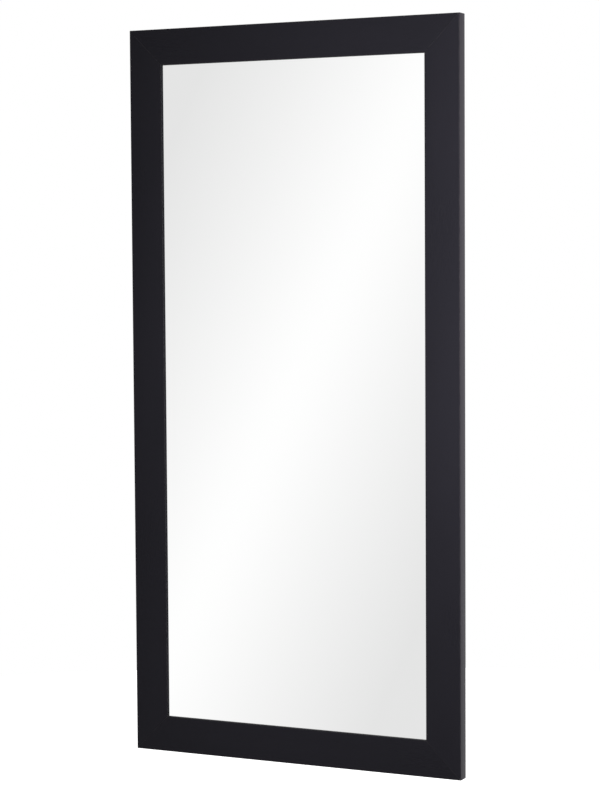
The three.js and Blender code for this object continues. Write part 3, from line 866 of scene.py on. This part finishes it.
def moulding_tree():
    """Draws a section out along Z, mitres its ends, turns it about Y to its side and finishes its faces."""
    shaper = Shaper("mitred_moulding", {
        "Section": "Object", "Reach": "Float", "Length": "Float", "Gap": "Float", "Width": "Float",
        "Bare from": "Float", "Front": "Float", "Turn": "Float", "Foil": "Material", "Bare": "Material",
    })
    given = shaper.given
    solid = shaper.drawn_out(given["Section"], shaper.vector(z=1.0))
    place = shaper.parts(shaper.place)
    end = shaper.sum("SIGN", shaper.minus(place["Z"], 0.5))
    cut_back = shaper.plus(place["X"], shaper.times(given["Gap"], math.sqrt(0.5)))
    height = shaper.times(end, shaper.minus(shaper.times(given["Length"], 0.5), cut_back))
    mitred = shaper.reshaped(solid, place["X"], place["Y"], height)

    from_front = shaper.minus(place["Y"], given["Front"])
    from_edge = shaper.sum("MINIMUM", place["X"], shaper.minus(given["Width"], place["X"]))
    # Bands along the front arrises where the foil is painted lighter, as wear and as painted highlight
    at_arris = shaper.times(*(shaper.sum("LESS_THAN", away, WEAR_AND_HIGHLIGHT_BAND) for away in (from_front, from_edge)))
    noted = shaper.noted(mitred, "along_moulding", shaper.place, "FLOAT_VECTOR")
    noted = shaper.noted(noted, "edge_wear", at_arris, "FLOAT")
    moved = shaper.moved(noted, shaper.vector(shaper.times(given["Reach"], -1.0)))
    turned = shaper.out("GeometryNodeTransform", {
        "Geometry": moved, "Rotation": shaper.vector(0.0, given["Turn"]),
    })

    along = shaper.parts(shaper.recall("along_moulding", "FLOAT_VECTOR"))
    behind = shaper.sum("GREATER_THAN", along["Y"], given["Bare from"])
    inside = shaper.sum("GREATER_THAN", along["X"], BARE_INSIDE)
    drawn_side = shaper.sum("LESS_THAN", shaper.sum("ABSOLUTE", along["Z"]), given["Width"])
    bare = shaper.times(shaper.times(behind, inside), drawn_side)
    foiled = shaper.coated(shaper.realized(turned), given["Foil"])
    return shaper.end(shaper.coated(foiled, given["Bare"], bare))


class CLOSETMIRROR_OT_mouldings(bpy.types.Operator):
    """Four mitred mouldings in satin foil"""

    bl_idname = "closetmirror.mouldings"
    bl_label = "Mouldings"

    def execute(self, context):
        settings = context.scene.mirror_frame
        section = section_object(moulding_section(settings))
        tree = moulding_tree()
        quarter = math.pi / 2
        turns = {"left_stile": 0.0, "right_stile": math.pi, "top_rail": quarter, "bottom_rail": -quarter}
        for node, turn in turns.items():
            upright = node.endswith("stile")
            thing = shaped(tree, f"{node}_moulding", {
                "Section": section,
                "Reach": HALF_WIDTH if upright else HALF_HEIGHT,
                "Length": 2 * (HALF_HEIGHT if upright else HALF_WIDTH),
                "Gap": settings.mitre_gap,
                "Width": settings.moulding_width,
                "Bare from": FRONT_Y + settings.lip_depth + BARE_BEHIND,
                "Front": FRONT_Y,
                "Turn": turn,
                "Foil": finish_for("foil"),
                "Bare": finish_for("fibreboard"),
            })
            eased(thing, settings.mitre_arris, SMALL_ROUND, MITRE_EASED_FROM, finish_for("foil"))
            placed(thing, "mirror", [node])
        bpy.data.objects.remove(section)
        return {"FINISHED"}


class CLOSETMIRROR_OT_glass(bpy.types.Operator):
    """Silvered glass with an arrissed edge, and its backing board"""

    bl_idname = "closetmirror.glass"
    bl_label = "Glass and board"

    def execute(self, context):
        refined("mirror_glass", "mirror", "silver", GLASS_ARRIS, CHAMFER)
        refined("backing_board", "mirror", "hardboard", BOARD_EDGE, CHAMFER)
        return {"FINISHED"}


# Steel, plastic and rubber parts

# Rounding of these parts' edges, alone or as a share of the edge that the settings give for their material
BUSH_EDGE = 0.2 * MM
WASHER_EDGE = 0.15 * MM
MAGNET_EDGE = 0.3 * MM
FOLDED_SHARE = 1.6
SPINE_SHARE = 2
CAP_SHARE = 0.6
SWING_BUFFER_SHARE = 1.6
CLOSING_BUFFER_SHARE = 1.4


class CLOSETMIRROR_OT_fixings(bpy.types.Operator):
    """Glass clips, corner braces and strike plate"""

    bl_idname = "closetmirror.fixings"
    bl_label = "Clips, braces and strike plate"

    def execute(self, context):
        edge = context.scene.mirror_hardware.sheet_edge
        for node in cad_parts:
            if node.startswith(("glass_clip", "corner_brace", "strike_plate")):
                refined(node, "mirror", "zinc", edge)
        return {"FINISHED"}


class CLOSETMIRROR_OT_pivots(bpy.types.Operator):
    """Pivot brackets, pins, bushes, washers and plugs"""

    bl_idname = "closetmirror.pivots"
    bl_label = "Pivots"

    def execute(self, context):
        settings = context.scene.mirror_hardware
        sheet = settings.sheet_edge
        folded, cap = sheet * FOLDED_SHARE, settings.moulded_edge * CAP_SHARE
        for level, _ in LEVELS:
            refined(f"pivot_bracket_{level}", "mirror", "powder", folded, FULL_ROUND)
            refined(f"pivot_pin_{level}", "mirror", "zinc", sheet)
            refined(f"pivot_bush_{level}", "carriage", "nylon", BUSH_EDGE)
            refined(f"pivot_washer_{level}", "carriage", "nylon", WASHER_EDGE)
            refined(f"post_plug_{level}", "carriage", "plastic", cap)
        return {"FINISHED"}


class CLOSETMIRROR_OT_carriage(bpy.types.Operator):
    """Arms, post, rear stay and end caps"""

    bl_idname = "closetmirror.carriage"
    bl_label = "Carriage tubes"

    def execute(self, context):
        settings = context.scene.mirror_hardware
        for node in ("arm_upper", "arm_lower", "pivot_post", "rear_stay"):
            refined(node, "carriage", "powder", settings.tube_edge)
        for level, _ in LEVELS:
            cap = settings.moulded_edge * CAP_SHARE
            refined(f"arm_cap_{level}", "carriage", "plastic", cap)
        return {"FINISHED"}


class CLOSETMIRROR_OT_stops(bpy.types.Operator):
    """Magnetic catch and rubber buffers"""

    bl_idname = "closetmirror.stops"
    bl_label = "Catch and buffers"

    def execute(self, context):
        edge = context.scene.mirror_hardware.moulded_edge
        swing, closing = edge * SWING_BUFFER_SHARE, edge * CLOSING_BUFFER_SHARE
        refined("catch_housing", "carriage", "plastic", edge, FULL_ROUND)
        refined("catch_magnet", "carriage", "magnet", MAGNET_EDGE)
        for level, _ in LEVELS:
            refined(f"swing_buffer_{level}", "carriage", "rubber", swing, FULL_ROUND)
            refined(f"closing_buffer_{level}", "base", "rubber", closing, FULL_ROUND)
        return {"FINISHED"}


class CLOSETMIRROR_OT_runners(bpy.types.Operator):
    """Runner members and mounting spine"""

    bl_idname = "closetmirror.runners"
    bl_label = "Runner members"

    def execute(self, context):
        edge = context.scene.mirror_hardware.sheet_edge
        members = (("outer", "base"), ("middle", "middle_members"), ("inner", "carriage"))
        for level, _ in LEVELS:
            for layer, body in members:
                node = f"{layer}_member_{level}"
                refined(node, body, "zinc", edge * FOLDED_SHARE, FULL_ROUND)
        refined("mounting_spine", "base", "zinc_upright", edge * SPINE_SHARE, FULL_ROUND)
        return {"FINISHED"}


# Ball cages

MEMBER_SHEET = 1.2 * MM
BALL_SEGMENTS = 20
BALL_RINGS = 12


def cage_tree():
    """A cage strip drawn along X and its two rows of balls, at the upper and the lower runner."""
    shaper = Shaper("ball_cage", {
        "Section": "Object", "Start": "Float", "Length": "Float", "Level": "Float", "Row": "Float",
        "Row depth": "Float", "Ball": "Float", "Balls per row": "Int", "Row share": "Float",
        "Strip": "Material", "Balls": "Material",
    })
    given = shaper.given
    strip = shaper.drawn_out(given["Section"], shaper.vector(given["Length"]))
    strip = shaper.moved(strip, shaper.vector(given["Start"]))

    span = shaper.times(given["Length"], given["Row share"])
    pitch = shaper.sum("DIVIDE", span, shaper.minus(given["Balls per row"], 1.0))
    first = shaper.plus(given["Start"], shaper.times(shaper.minus(given["Length"], span), 0.5))
    rows = []
    for side in (1.0, -1.0):
        start = shaper.vector(first, given["Row depth"], shaper.times(given["Row"], side))
        rows.append(shaper.line(given["Balls per row"], start, shaper.vector(pitch)))
    ball = shaper.out("GeometryNodeMeshUVSphere", {
        "Segments": BALL_SEGMENTS, "Rings": BALL_RINGS, "Radius": shaper.times(given["Ball"], 0.5),
    })
    balls = shaper.at_points(shaper.join(*rows), shaper.out("GeometryNodeSetShadeSmooth", {0: ball}))

    downwards = shaper.vector(z=shaper.times(given["Level"], -2.0))
    levels = shaper.line(2, shaper.vector(z=given["Level"]), downwards)
    finished = [
        shaper.coated(shaper.realized(shaper.at_points(levels, form)), material)
        for form, material in ((strip, given["Strip"]), (balls, given["Balls"]))
    ]
    return shaper.end(shaper.join(*finished))


def cage_section(low, high, half, sheet):
    """Section of a cage strip: a web with a flange at each side that holds a row of balls."""
    inner, web = half - sheet, high.y - sheet
    upper = [(high.y, half), (low.y, half), (low.y, inner), (web, inner)]
    lower = [(y, -z) for y, z in reversed(upper)]
    return [(0, y, z) for y, z in upper + lower]


class CLOSETMIRROR_OT_ball_cages(bpy.types.Operator):
    """Cage strips and round balls of both runners"""

    bl_idname = "closetmirror.ball_cages"
    bl_label = "Ball cages"

    def execute(self, context):
        settings = context.scene.mirror_runners
        sheet = settings.cage_sheet
        tree = cage_tree()
        for layer, ball, carrier in (
            ("outer", settings.outer_ball, "outer_member_upper"),
            ("inner", settings.inner_ball, "middle_member_upper"),
        ):
            nodes = [f"{layer}_ball_cage_{level}" for level, _ in LEVELS]
            low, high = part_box(nodes[0])
            row = (high.z - low.z) / 2 - ball / 2
            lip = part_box(carrier)[0].y + MEMBER_SHEET
            section = section_object(cage_section(low, high, row + sheet / 2, sheet))
            thing = shaped(tree, f"{layer}_ball_cages_finished", {
                "Section": section,
                "Start": low.x,
                "Length": high.x - low.x,
                "Level": (low.z + high.z) / 2,
                "Row": row,
                "Row depth": (high.y - sheet + lip) / 2,
                "Ball": ball,
                "Balls per row": settings.balls_per_row,
                "Row share": settings.row_share,
                "Strip": finish_for("zinc"),
                "Balls": finish_for("hardened"),
            })
            bpy.data.objects.remove(section)
            placed(thing, f"{layer}_ball_cages", nodes)
        return {"FINISHED"}


# Screws

TO_BACK = Vector((0, 1, 0))
TO_FRONT = Vector((0, -1, 0))

# Sizes of the screws. A head's dome and taper are shares of its height and radius
PLAIN_SCREW = {
    "Dome": 0.45, "Taper": 0.0, "Shank radius": 1.8 * MM, "Shank length": 12 * MM, "Recess depth": 1.1 * MM,
    "Facets": 32, "Seed": 7,
}
FLUSH_SCREW = {
    **PLAIN_SCREW, "Head radius": 4 * MM, "Head height": 2.4 * MM, "Dome": 0.04, "Taper": 0.48,
    "Shank radius": 2 * MM, "Shank length": 12.5 * MM, "Recess depth": 1.4 * MM,
}
SMALL_SCREW = {
    **PLAIN_SCREW, "Head radius": 2.6 * MM, "Head height": 1.3 * MM, "Dome": 0.04, "Taper": 0.4,
    "Shank radius": 1.3 * MM, "Shank length": 9 * MM, "Recess depth": 0.7 * MM,
}
ARM_SCREW = {
    **PLAIN_SCREW, "Head radius": 4.2 * MM, "Head height": 1.8 * MM, "Shank radius": 2.2 * MM,
    "Shank length": 7 * MM, "Seed": 31,
}
BRACE_SEED = 19

# The crown falls by this power of the distance from the axis. The recess is two crossed slots, sized by the
# head's radius, and the second is less deep so that their floors don't lie in one plane
CROWN_POWER = 2.6
SLOT_SHARES = (1.1, 0.27)
SECOND_SLOT_SHARE = 0.94
HEAD_RINGS = 5
SHANK_FACETS = 16
SHANK_IN_HEAD_SHARE = 0.02
SHARP_FROM = math.radians(40)

# Where the screws sit: on a clip's or brace's sheet, along a brace's leg, above and below the middle of the
# strike plate and the catch, where flush heads stand slightly proud, and along a runner from its middle
CLIP_SCREW_INSET = 5 * MM
CLIP_SHEET = 1.5 * MM
BRACE_SHEET = 2 * MM
BRACE_LEG = 85 * MM
BRACE_WIDTH = 18 * MM
BRACE_SCREW_SHARES = (0.45, 0.85)
STRIKE_SCREW_REACH = 20.4 * MM
CATCH_SCREW_REACH = 19.6 * MM
PROUD = 0.05 * MM
ARM_SCREW_SHARES = (-0.3, 0.04, 0.3)


def screw_tree():
    """A cross-recessed screw at each point, its head standing the way that the point faces."""
    shaper = Shaper("cross_recessed_screw", {
        "Head radius": "Float", "Head height": "Float", "Dome": "Float", "Taper": "Float",
        "Shank radius": "Float", "Shank length": "Float", "Recess depth": "Float", "Facets": "Int",
        "Seed": "Int", "Finish": "Material",
    })
    given = shaper.given
    head = shaper.out("GeometryNodeMeshCylinder", {
        "Vertices": given["Facets"], "Side Segments": 2, "Fill Segments": HEAD_RINGS,
        "Radius": given["Head radius"], "Depth": 1.0,
    })
    place = shaper.parts(shaper.place)
    flat = shaper.vector(place["X"], place["Y"])
    from_axis = shaper.out("ShaderNodeVectorMath", {0: flat}, "Value", operation="LENGTH")
    share = shaper.sum("DIVIDE", from_axis, given["Head radius"])
    crown = shaper.minus(1.0, shaper.times(given["Dome"], shaper.sum("POWER", share, CROWN_POWER)))
    up = shaper.plus(place["Z"], 0.5)
    height = shaper.times(shaper.times(up, given["Head height"]), crown)
    narrow = shaper.minus(1.0, shaper.times(given["Taper"], shaper.minus(1.0, up)))
    head = shaper.reshaped(head, shaper.times(place["X"], narrow), shaper.times(place["Y"], narrow), height)

    long_side, short_side = (shaper.times(given["Head radius"], share) for share in SLOT_SHARES)
    top = shaper.vector(z=given["Head height"])
    deep = shaper.times(given["Recess depth"], 2.0)
    for x, y, share in ((long_side, short_side, 1.0), (short_side, long_side, SECOND_SLOT_SHARE)):
        slot = shaper.out("GeometryNodeMeshCube", {"Size": shaper.vector(x, y, shaper.times(deep, share))})
        cut = {"Mesh 1": head, "Mesh 2": shaper.moved(slot, top)}
        head = shaper.out("GeometryNodeMeshBoolean", cut, operation="DIFFERENCE")

    shank = shaper.out("GeometryNodeMeshCylinder", {
        "Vertices": SHANK_FACETS, "Side Segments": 1, "Fill Segments": 1,
        "Radius": given["Shank radius"], "Depth": given["Shank length"],
    })
    sunk = shaper.times(given["Shank length"], SHANK_IN_HEAD_SHARE - 0.5)
    whole = shaper.join(head, shaper.moved(shank, shaper.vector(z=sunk)))

    facing = shaper.recall("facing", "FLOAT_VECTOR")
    upright = shaper.out("FunctionNodeAlignRotationToVector", {"Vector": facing}, axis="Z")
    half_turn = {2: 0.0, 3: math.pi, "Seed": given["Seed"]}
    spin = shaper.out("FunctionNodeRandomValue", half_turn, 1, data_type="FLOAT")
    about = shaper.out("FunctionNodeAxisAngleToRotation", {"Axis": (0, 0, 1), "Angle": spin})
    turned = shaper.out("FunctionNodeRotateRotation", {0: upright, 1: about}, rotation_space="LOCAL")
    screws = shaper.at_points(given["Geometry"], whole, turned)
    return shaper.end(shaper.coated(shaper.realized(screws), given["Finish"]))


def points_mesh(name, places, facing):
    """Loose points that each know the way a screw in them faces."""
    mesh = bpy.data.meshes.new(name)
    mesh.from_pydata([tuple(place) for place in places], [], [])
    for item in mesh.attributes.new("facing", "FLOAT_VECTOR", "POINT").data:
        item.vector = facing
    return mesh


def screw_set(tree, name, places, sizes, facing=TO_BACK, finish="black_zinc"):
    """The screws at the places, as one mesh."""
    values = {**sizes, "Finish": finish_for(finish)}
    thing = shaped(tree, name, values, points_mesh(name, places, facing))
    smoothed(thing)
    thing.data.set_sharp_from_angle(angle=SHARP_FROM)
    return thing


def clip_screw_places(inset):
    """The middle of each clip's foot, which lies on the moulding."""
    places = []
    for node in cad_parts:
        if node.startswith("glass_clip"):
            centre = middle_of(node)
            x, z = centre.x, centre.z
            if node.endswith(("top", "bottom")):
                z = math.copysign(HALF_HEIGHT - inset, z)
            else:
                x = math.copysign(HALF_WIDTH - inset, x)
            places.append((x, FIXING_Y + CLIP_SHEET, z))
    return places


def brace_screw_places():
    """Two in each leg of each brace, on the leg's middle line."""
    edge = HALF_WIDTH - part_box("corner_brace_upper_right")[1].x
    middle = edge + BRACE_WIDTH / 2
    places = []
    for _, side_z in LEVELS:
        for side_x in SIDES:
            for share in BRACE_SCREW_SHARES:
                along = edge + share * BRACE_LEG
                for near_x, near_z in ((along, middle), (middle, along)):
                    x, z = side_x * (HALF_WIDTH - near_x), side_z * (HALF_HEIGHT - near_z)
                    places.append((x, FIXING_Y + BRACE_SHEET, z))
    return places


class CLOSETMIRROR_OT_screws(bpy.types.Operator):
    """Screws of the clips, braces, brackets, strike plate, catch and runners"""

    bl_idname = "closetmirror.screws"
    bl_label = "Screws"

    def execute(self, context):
        settings = context.scene.mirror_hardware
        tree = screw_tree()
        pan = {
            **PLAIN_SCREW, "Head radius": settings.pan_head_radius, "Head height": settings.pan_head_height,
        }
        places = clip_screw_places(context.scene.mirror_frame.rebate_inset - CLIP_SCREW_INSET)
        placed(screw_set(tree, "clip_screws", places, pan), "mirror")
        thing = screw_set(tree, "brace_screws", brace_screw_places(), {**pan, "Seed": BRACE_SEED})
        placed(thing, "mirror")

        nodes = sorted(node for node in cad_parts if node.startswith("bracket_screw"))
        places = []
        for node in nodes:
            centre = middle_of(node)
            places.append((centre.x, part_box(node)[1].y - FLUSH_SCREW["Head height"], centre.z))
        placed(screw_set(tree, "bracket_screws", places, FLUSH_SCREW), "mirror", nodes)

        x = middle_of("strike_plate").x
        below = SMALL_SCREW["Head height"] - PROUD
        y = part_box("strike_plate")[1].y - below
        places = [(x, y, side * STRIKE_SCREW_REACH) for _, side in LEVELS]
        placed(screw_set(tree, "strike_plate_screws", places, SMALL_SCREW), "mirror")
        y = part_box("catch_housing")[0].y + below
        places = [(x, y, side * CATCH_SCREW_REACH) for _, side in LEVELS]
        placed(screw_set(tree, "catch_screws", places, SMALL_SCREW, TO_FRONT), "carriage")

        low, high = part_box("outer_member_upper")
        centre = (low + high) / 2
        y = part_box("inner_member_upper")[0].y + MEMBER_SHEET
        places = [
            (centre.x + share * (high.x - low.x), y, side * centre.z)
            for share in ARM_SCREW_SHARES for _, side in LEVELS
        ]
        thing = screw_set(tree, "arm_screws", places, ARM_SCREW, finish="zinc")
        placed(thing, "carriage")
        return {"FINISHED"}


# Welds

# A bead's ripples swell it by a share of its radius, in steps that are a share of a ripple
RIPPLE_SHARE = 0.12
STEP_SHARE = 0.2
BEAD_SIDES = 12

# How far a bead's path lies off the steel, how far it stops short of an arm's back, and the tabs' beads
WELD_OFF = 0.1 * MM
WELD_STOP = 2.2 * MM
TAB_WELD_OFF = 0.2 * MM
TAB_WELD_DOWN = 0.5 * MM
TAB_WELD_INSET = 5 * MM
TAB_WELD_LENGTH = 16 * MM


def bead_tree():
    """A rippled bead along each path of edges."""
    shaper = Shaper("weld_bead", {"Radius": "Float", "Ripple": "Float", "Finish": "Material"})
    given = shaper.given
    path = shaper.out("GeometryNodeMeshToCurve", {0: given["Geometry"]})
    step = shaper.times(given["Ripple"], STEP_SHARE)
    fine = shaper.out("GeometryNodeResampleCurve", {"Curve": path, "Length": step}, mode="LENGTH")
    length = shaper.out("GeometryNodeSplineParameter", output="Length")
    turns = shaper.times(shaper.sum("DIVIDE", length, given["Ripple"]), 2 * math.pi)
    swell = shaper.plus(shaper.times(shaper.sum("SINE", turns), RIPPLE_SHARE), 1.0)
    swollen = shaper.out("GeometryNodeSetCurveRadius", {"Curve": fine, "Radius": swell})
    ring = shaper.out("GeometryNodeCurvePrimitiveCircle", {
        "Resolution": BEAD_SIDES, "Radius": given["Radius"],
    })
    radius = shaper.out("GeometryNodeInputRadius")
    bead = shaper.out("GeometryNodeCurveToMesh", {
        "Curve": swollen, "Profile Curve": ring, "Scale": radius, "Fill Caps": True,
    })
    smooth = shaper.out("GeometryNodeSetShadeSmooth", {0: bead})
    return shaper.end(shaper.coated(shaper.realized(smooth), given["Finish"]))


def beads(tree, name, paths, settings, finish):
    """Weld beads along the paths, as one mesh."""
    vertices, edges = [], []
    for points in paths:
        edges.extend((len(vertices) + i, len(vertices) + i + 1) for i in range(len(points) - 1))
        vertices.extend(points)
    mesh = bpy.data.meshes.new(name)
    mesh.from_pydata(vertices, edges, [])
    values = {"Radius": settings.bead_radius, "Ripple": settings.bead_ripple, "Finish": finish_for(finish)}
    return shaped(tree, name, values, mesh)


class CLOSETMIRROR_OT_welds(bpy.types.Operator):
    """Weld beads between the carriage's tubes, and between the spine's tabs and the runners"""

    bl_idname = "closetmirror.welds"
    bl_label = "Welds"

    def execute(self, context):
        settings = context.scene.mirror_hardware
        tube_paths, tab_paths = [], []
        stay_low, stay_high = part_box("rear_stay")
        tab_low, tab_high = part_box("mounting_spine")
        for level, side in LEVELS:
            low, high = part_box(f"arm_{level}")
            x = high.x + WELD_OFF
            back = high.y - WELD_STOP
            tube_paths.append([(x, back, high.z), (x, low.y, high.z), (x, low.y, low.z), (x, back, low.z)])
            z = (stay_high.z if side > 0 else stay_low.z) + side * WELD_OFF
            for edge_x in (stay_low.x, stay_high.x):
                tube_paths.append([(edge_x, back, z), (edge_x, low.y, z)])

            y = tab_low.y - TAB_WELD_OFF
            z = side * (tab_high.z - TAB_WELD_DOWN)
            for start in (tab_low.x + TAB_WELD_INSET, tab_high.x - TAB_WELD_INSET - TAB_WELD_LENGTH):
                tab_paths.append([(start, y, z), (start + TAB_WELD_LENGTH, y, z)])
        tree = bead_tree()
        placed(beads(tree, "carriage_welds", tube_paths, settings, "powder"), "carriage")
        placed(beads(tree, "spine_welds", tab_paths, settings, "zinc"), "base")
        return {"FINISHED"}


# Panel and registration

OPERATORS = (
    CLOSETMIRROR_OT_camera,
    CLOSETMIRROR_OT_studio,
    CLOSETMIRROR_OT_mouldings,
    CLOSETMIRROR_OT_glass,
    CLOSETMIRROR_OT_fixings,
    CLOSETMIRROR_OT_pivots,
    CLOSETMIRROR_OT_carriage,
    CLOSETMIRROR_OT_stops,
    CLOSETMIRROR_OT_runners,
    CLOSETMIRROR_OT_ball_cages,
    CLOSETMIRROR_OT_screws,
    CLOSETMIRROR_OT_welds,
)
SETTINGS = {
    "mirror_frame": FrameSettings,
    "mirror_hardware": HardwareSettings,
    "mirror_runners": RunnerSettings,
    "mirror_studio": StudioSettings,
}


class CLOSETMIRROR_PT_pieces(bpy.types.Panel):
    """Sizes, colours and makers of the mirror's pieces"""

    bl_label = "Closet mirror"
    bl_idname = "CLOSETMIRROR_PT_pieces"
    bl_space_type = "VIEW_3D"
    bl_region_type = "UI"
    bl_category = "Closet Mirror"

    def draw(self, context):
        for name, group in SETTINGS.items():
            box = self.layout.box()
            for key in group.__annotations__:
                box.prop(getattr(context.scene, name), key)
        for operator in OPERATORS:
            self.layout.operator(operator.bl_idname)


CLASSES = (*SETTINGS.values(), *OPERATORS, CLOSETMIRROR_PT_pieces)


def register():
    for item in CLASSES:
        bpy.utils.register_class(item)
    for name, group in SETTINGS.items():
        setattr(bpy.types.Scene, name, PointerProperty(type=group))


def unregister():
    for name in SETTINGS:
        delattr(bpy.types.Scene, name)
    for item in reversed(CLASSES):
        bpy.utils.unregister_class(item)


def main():
    register()
    for operator in OPERATORS:
        getattr(bpy.ops.closetmirror, operator.bl_idname.split(".")[1])()


if __name__ == "__main__":
    main()
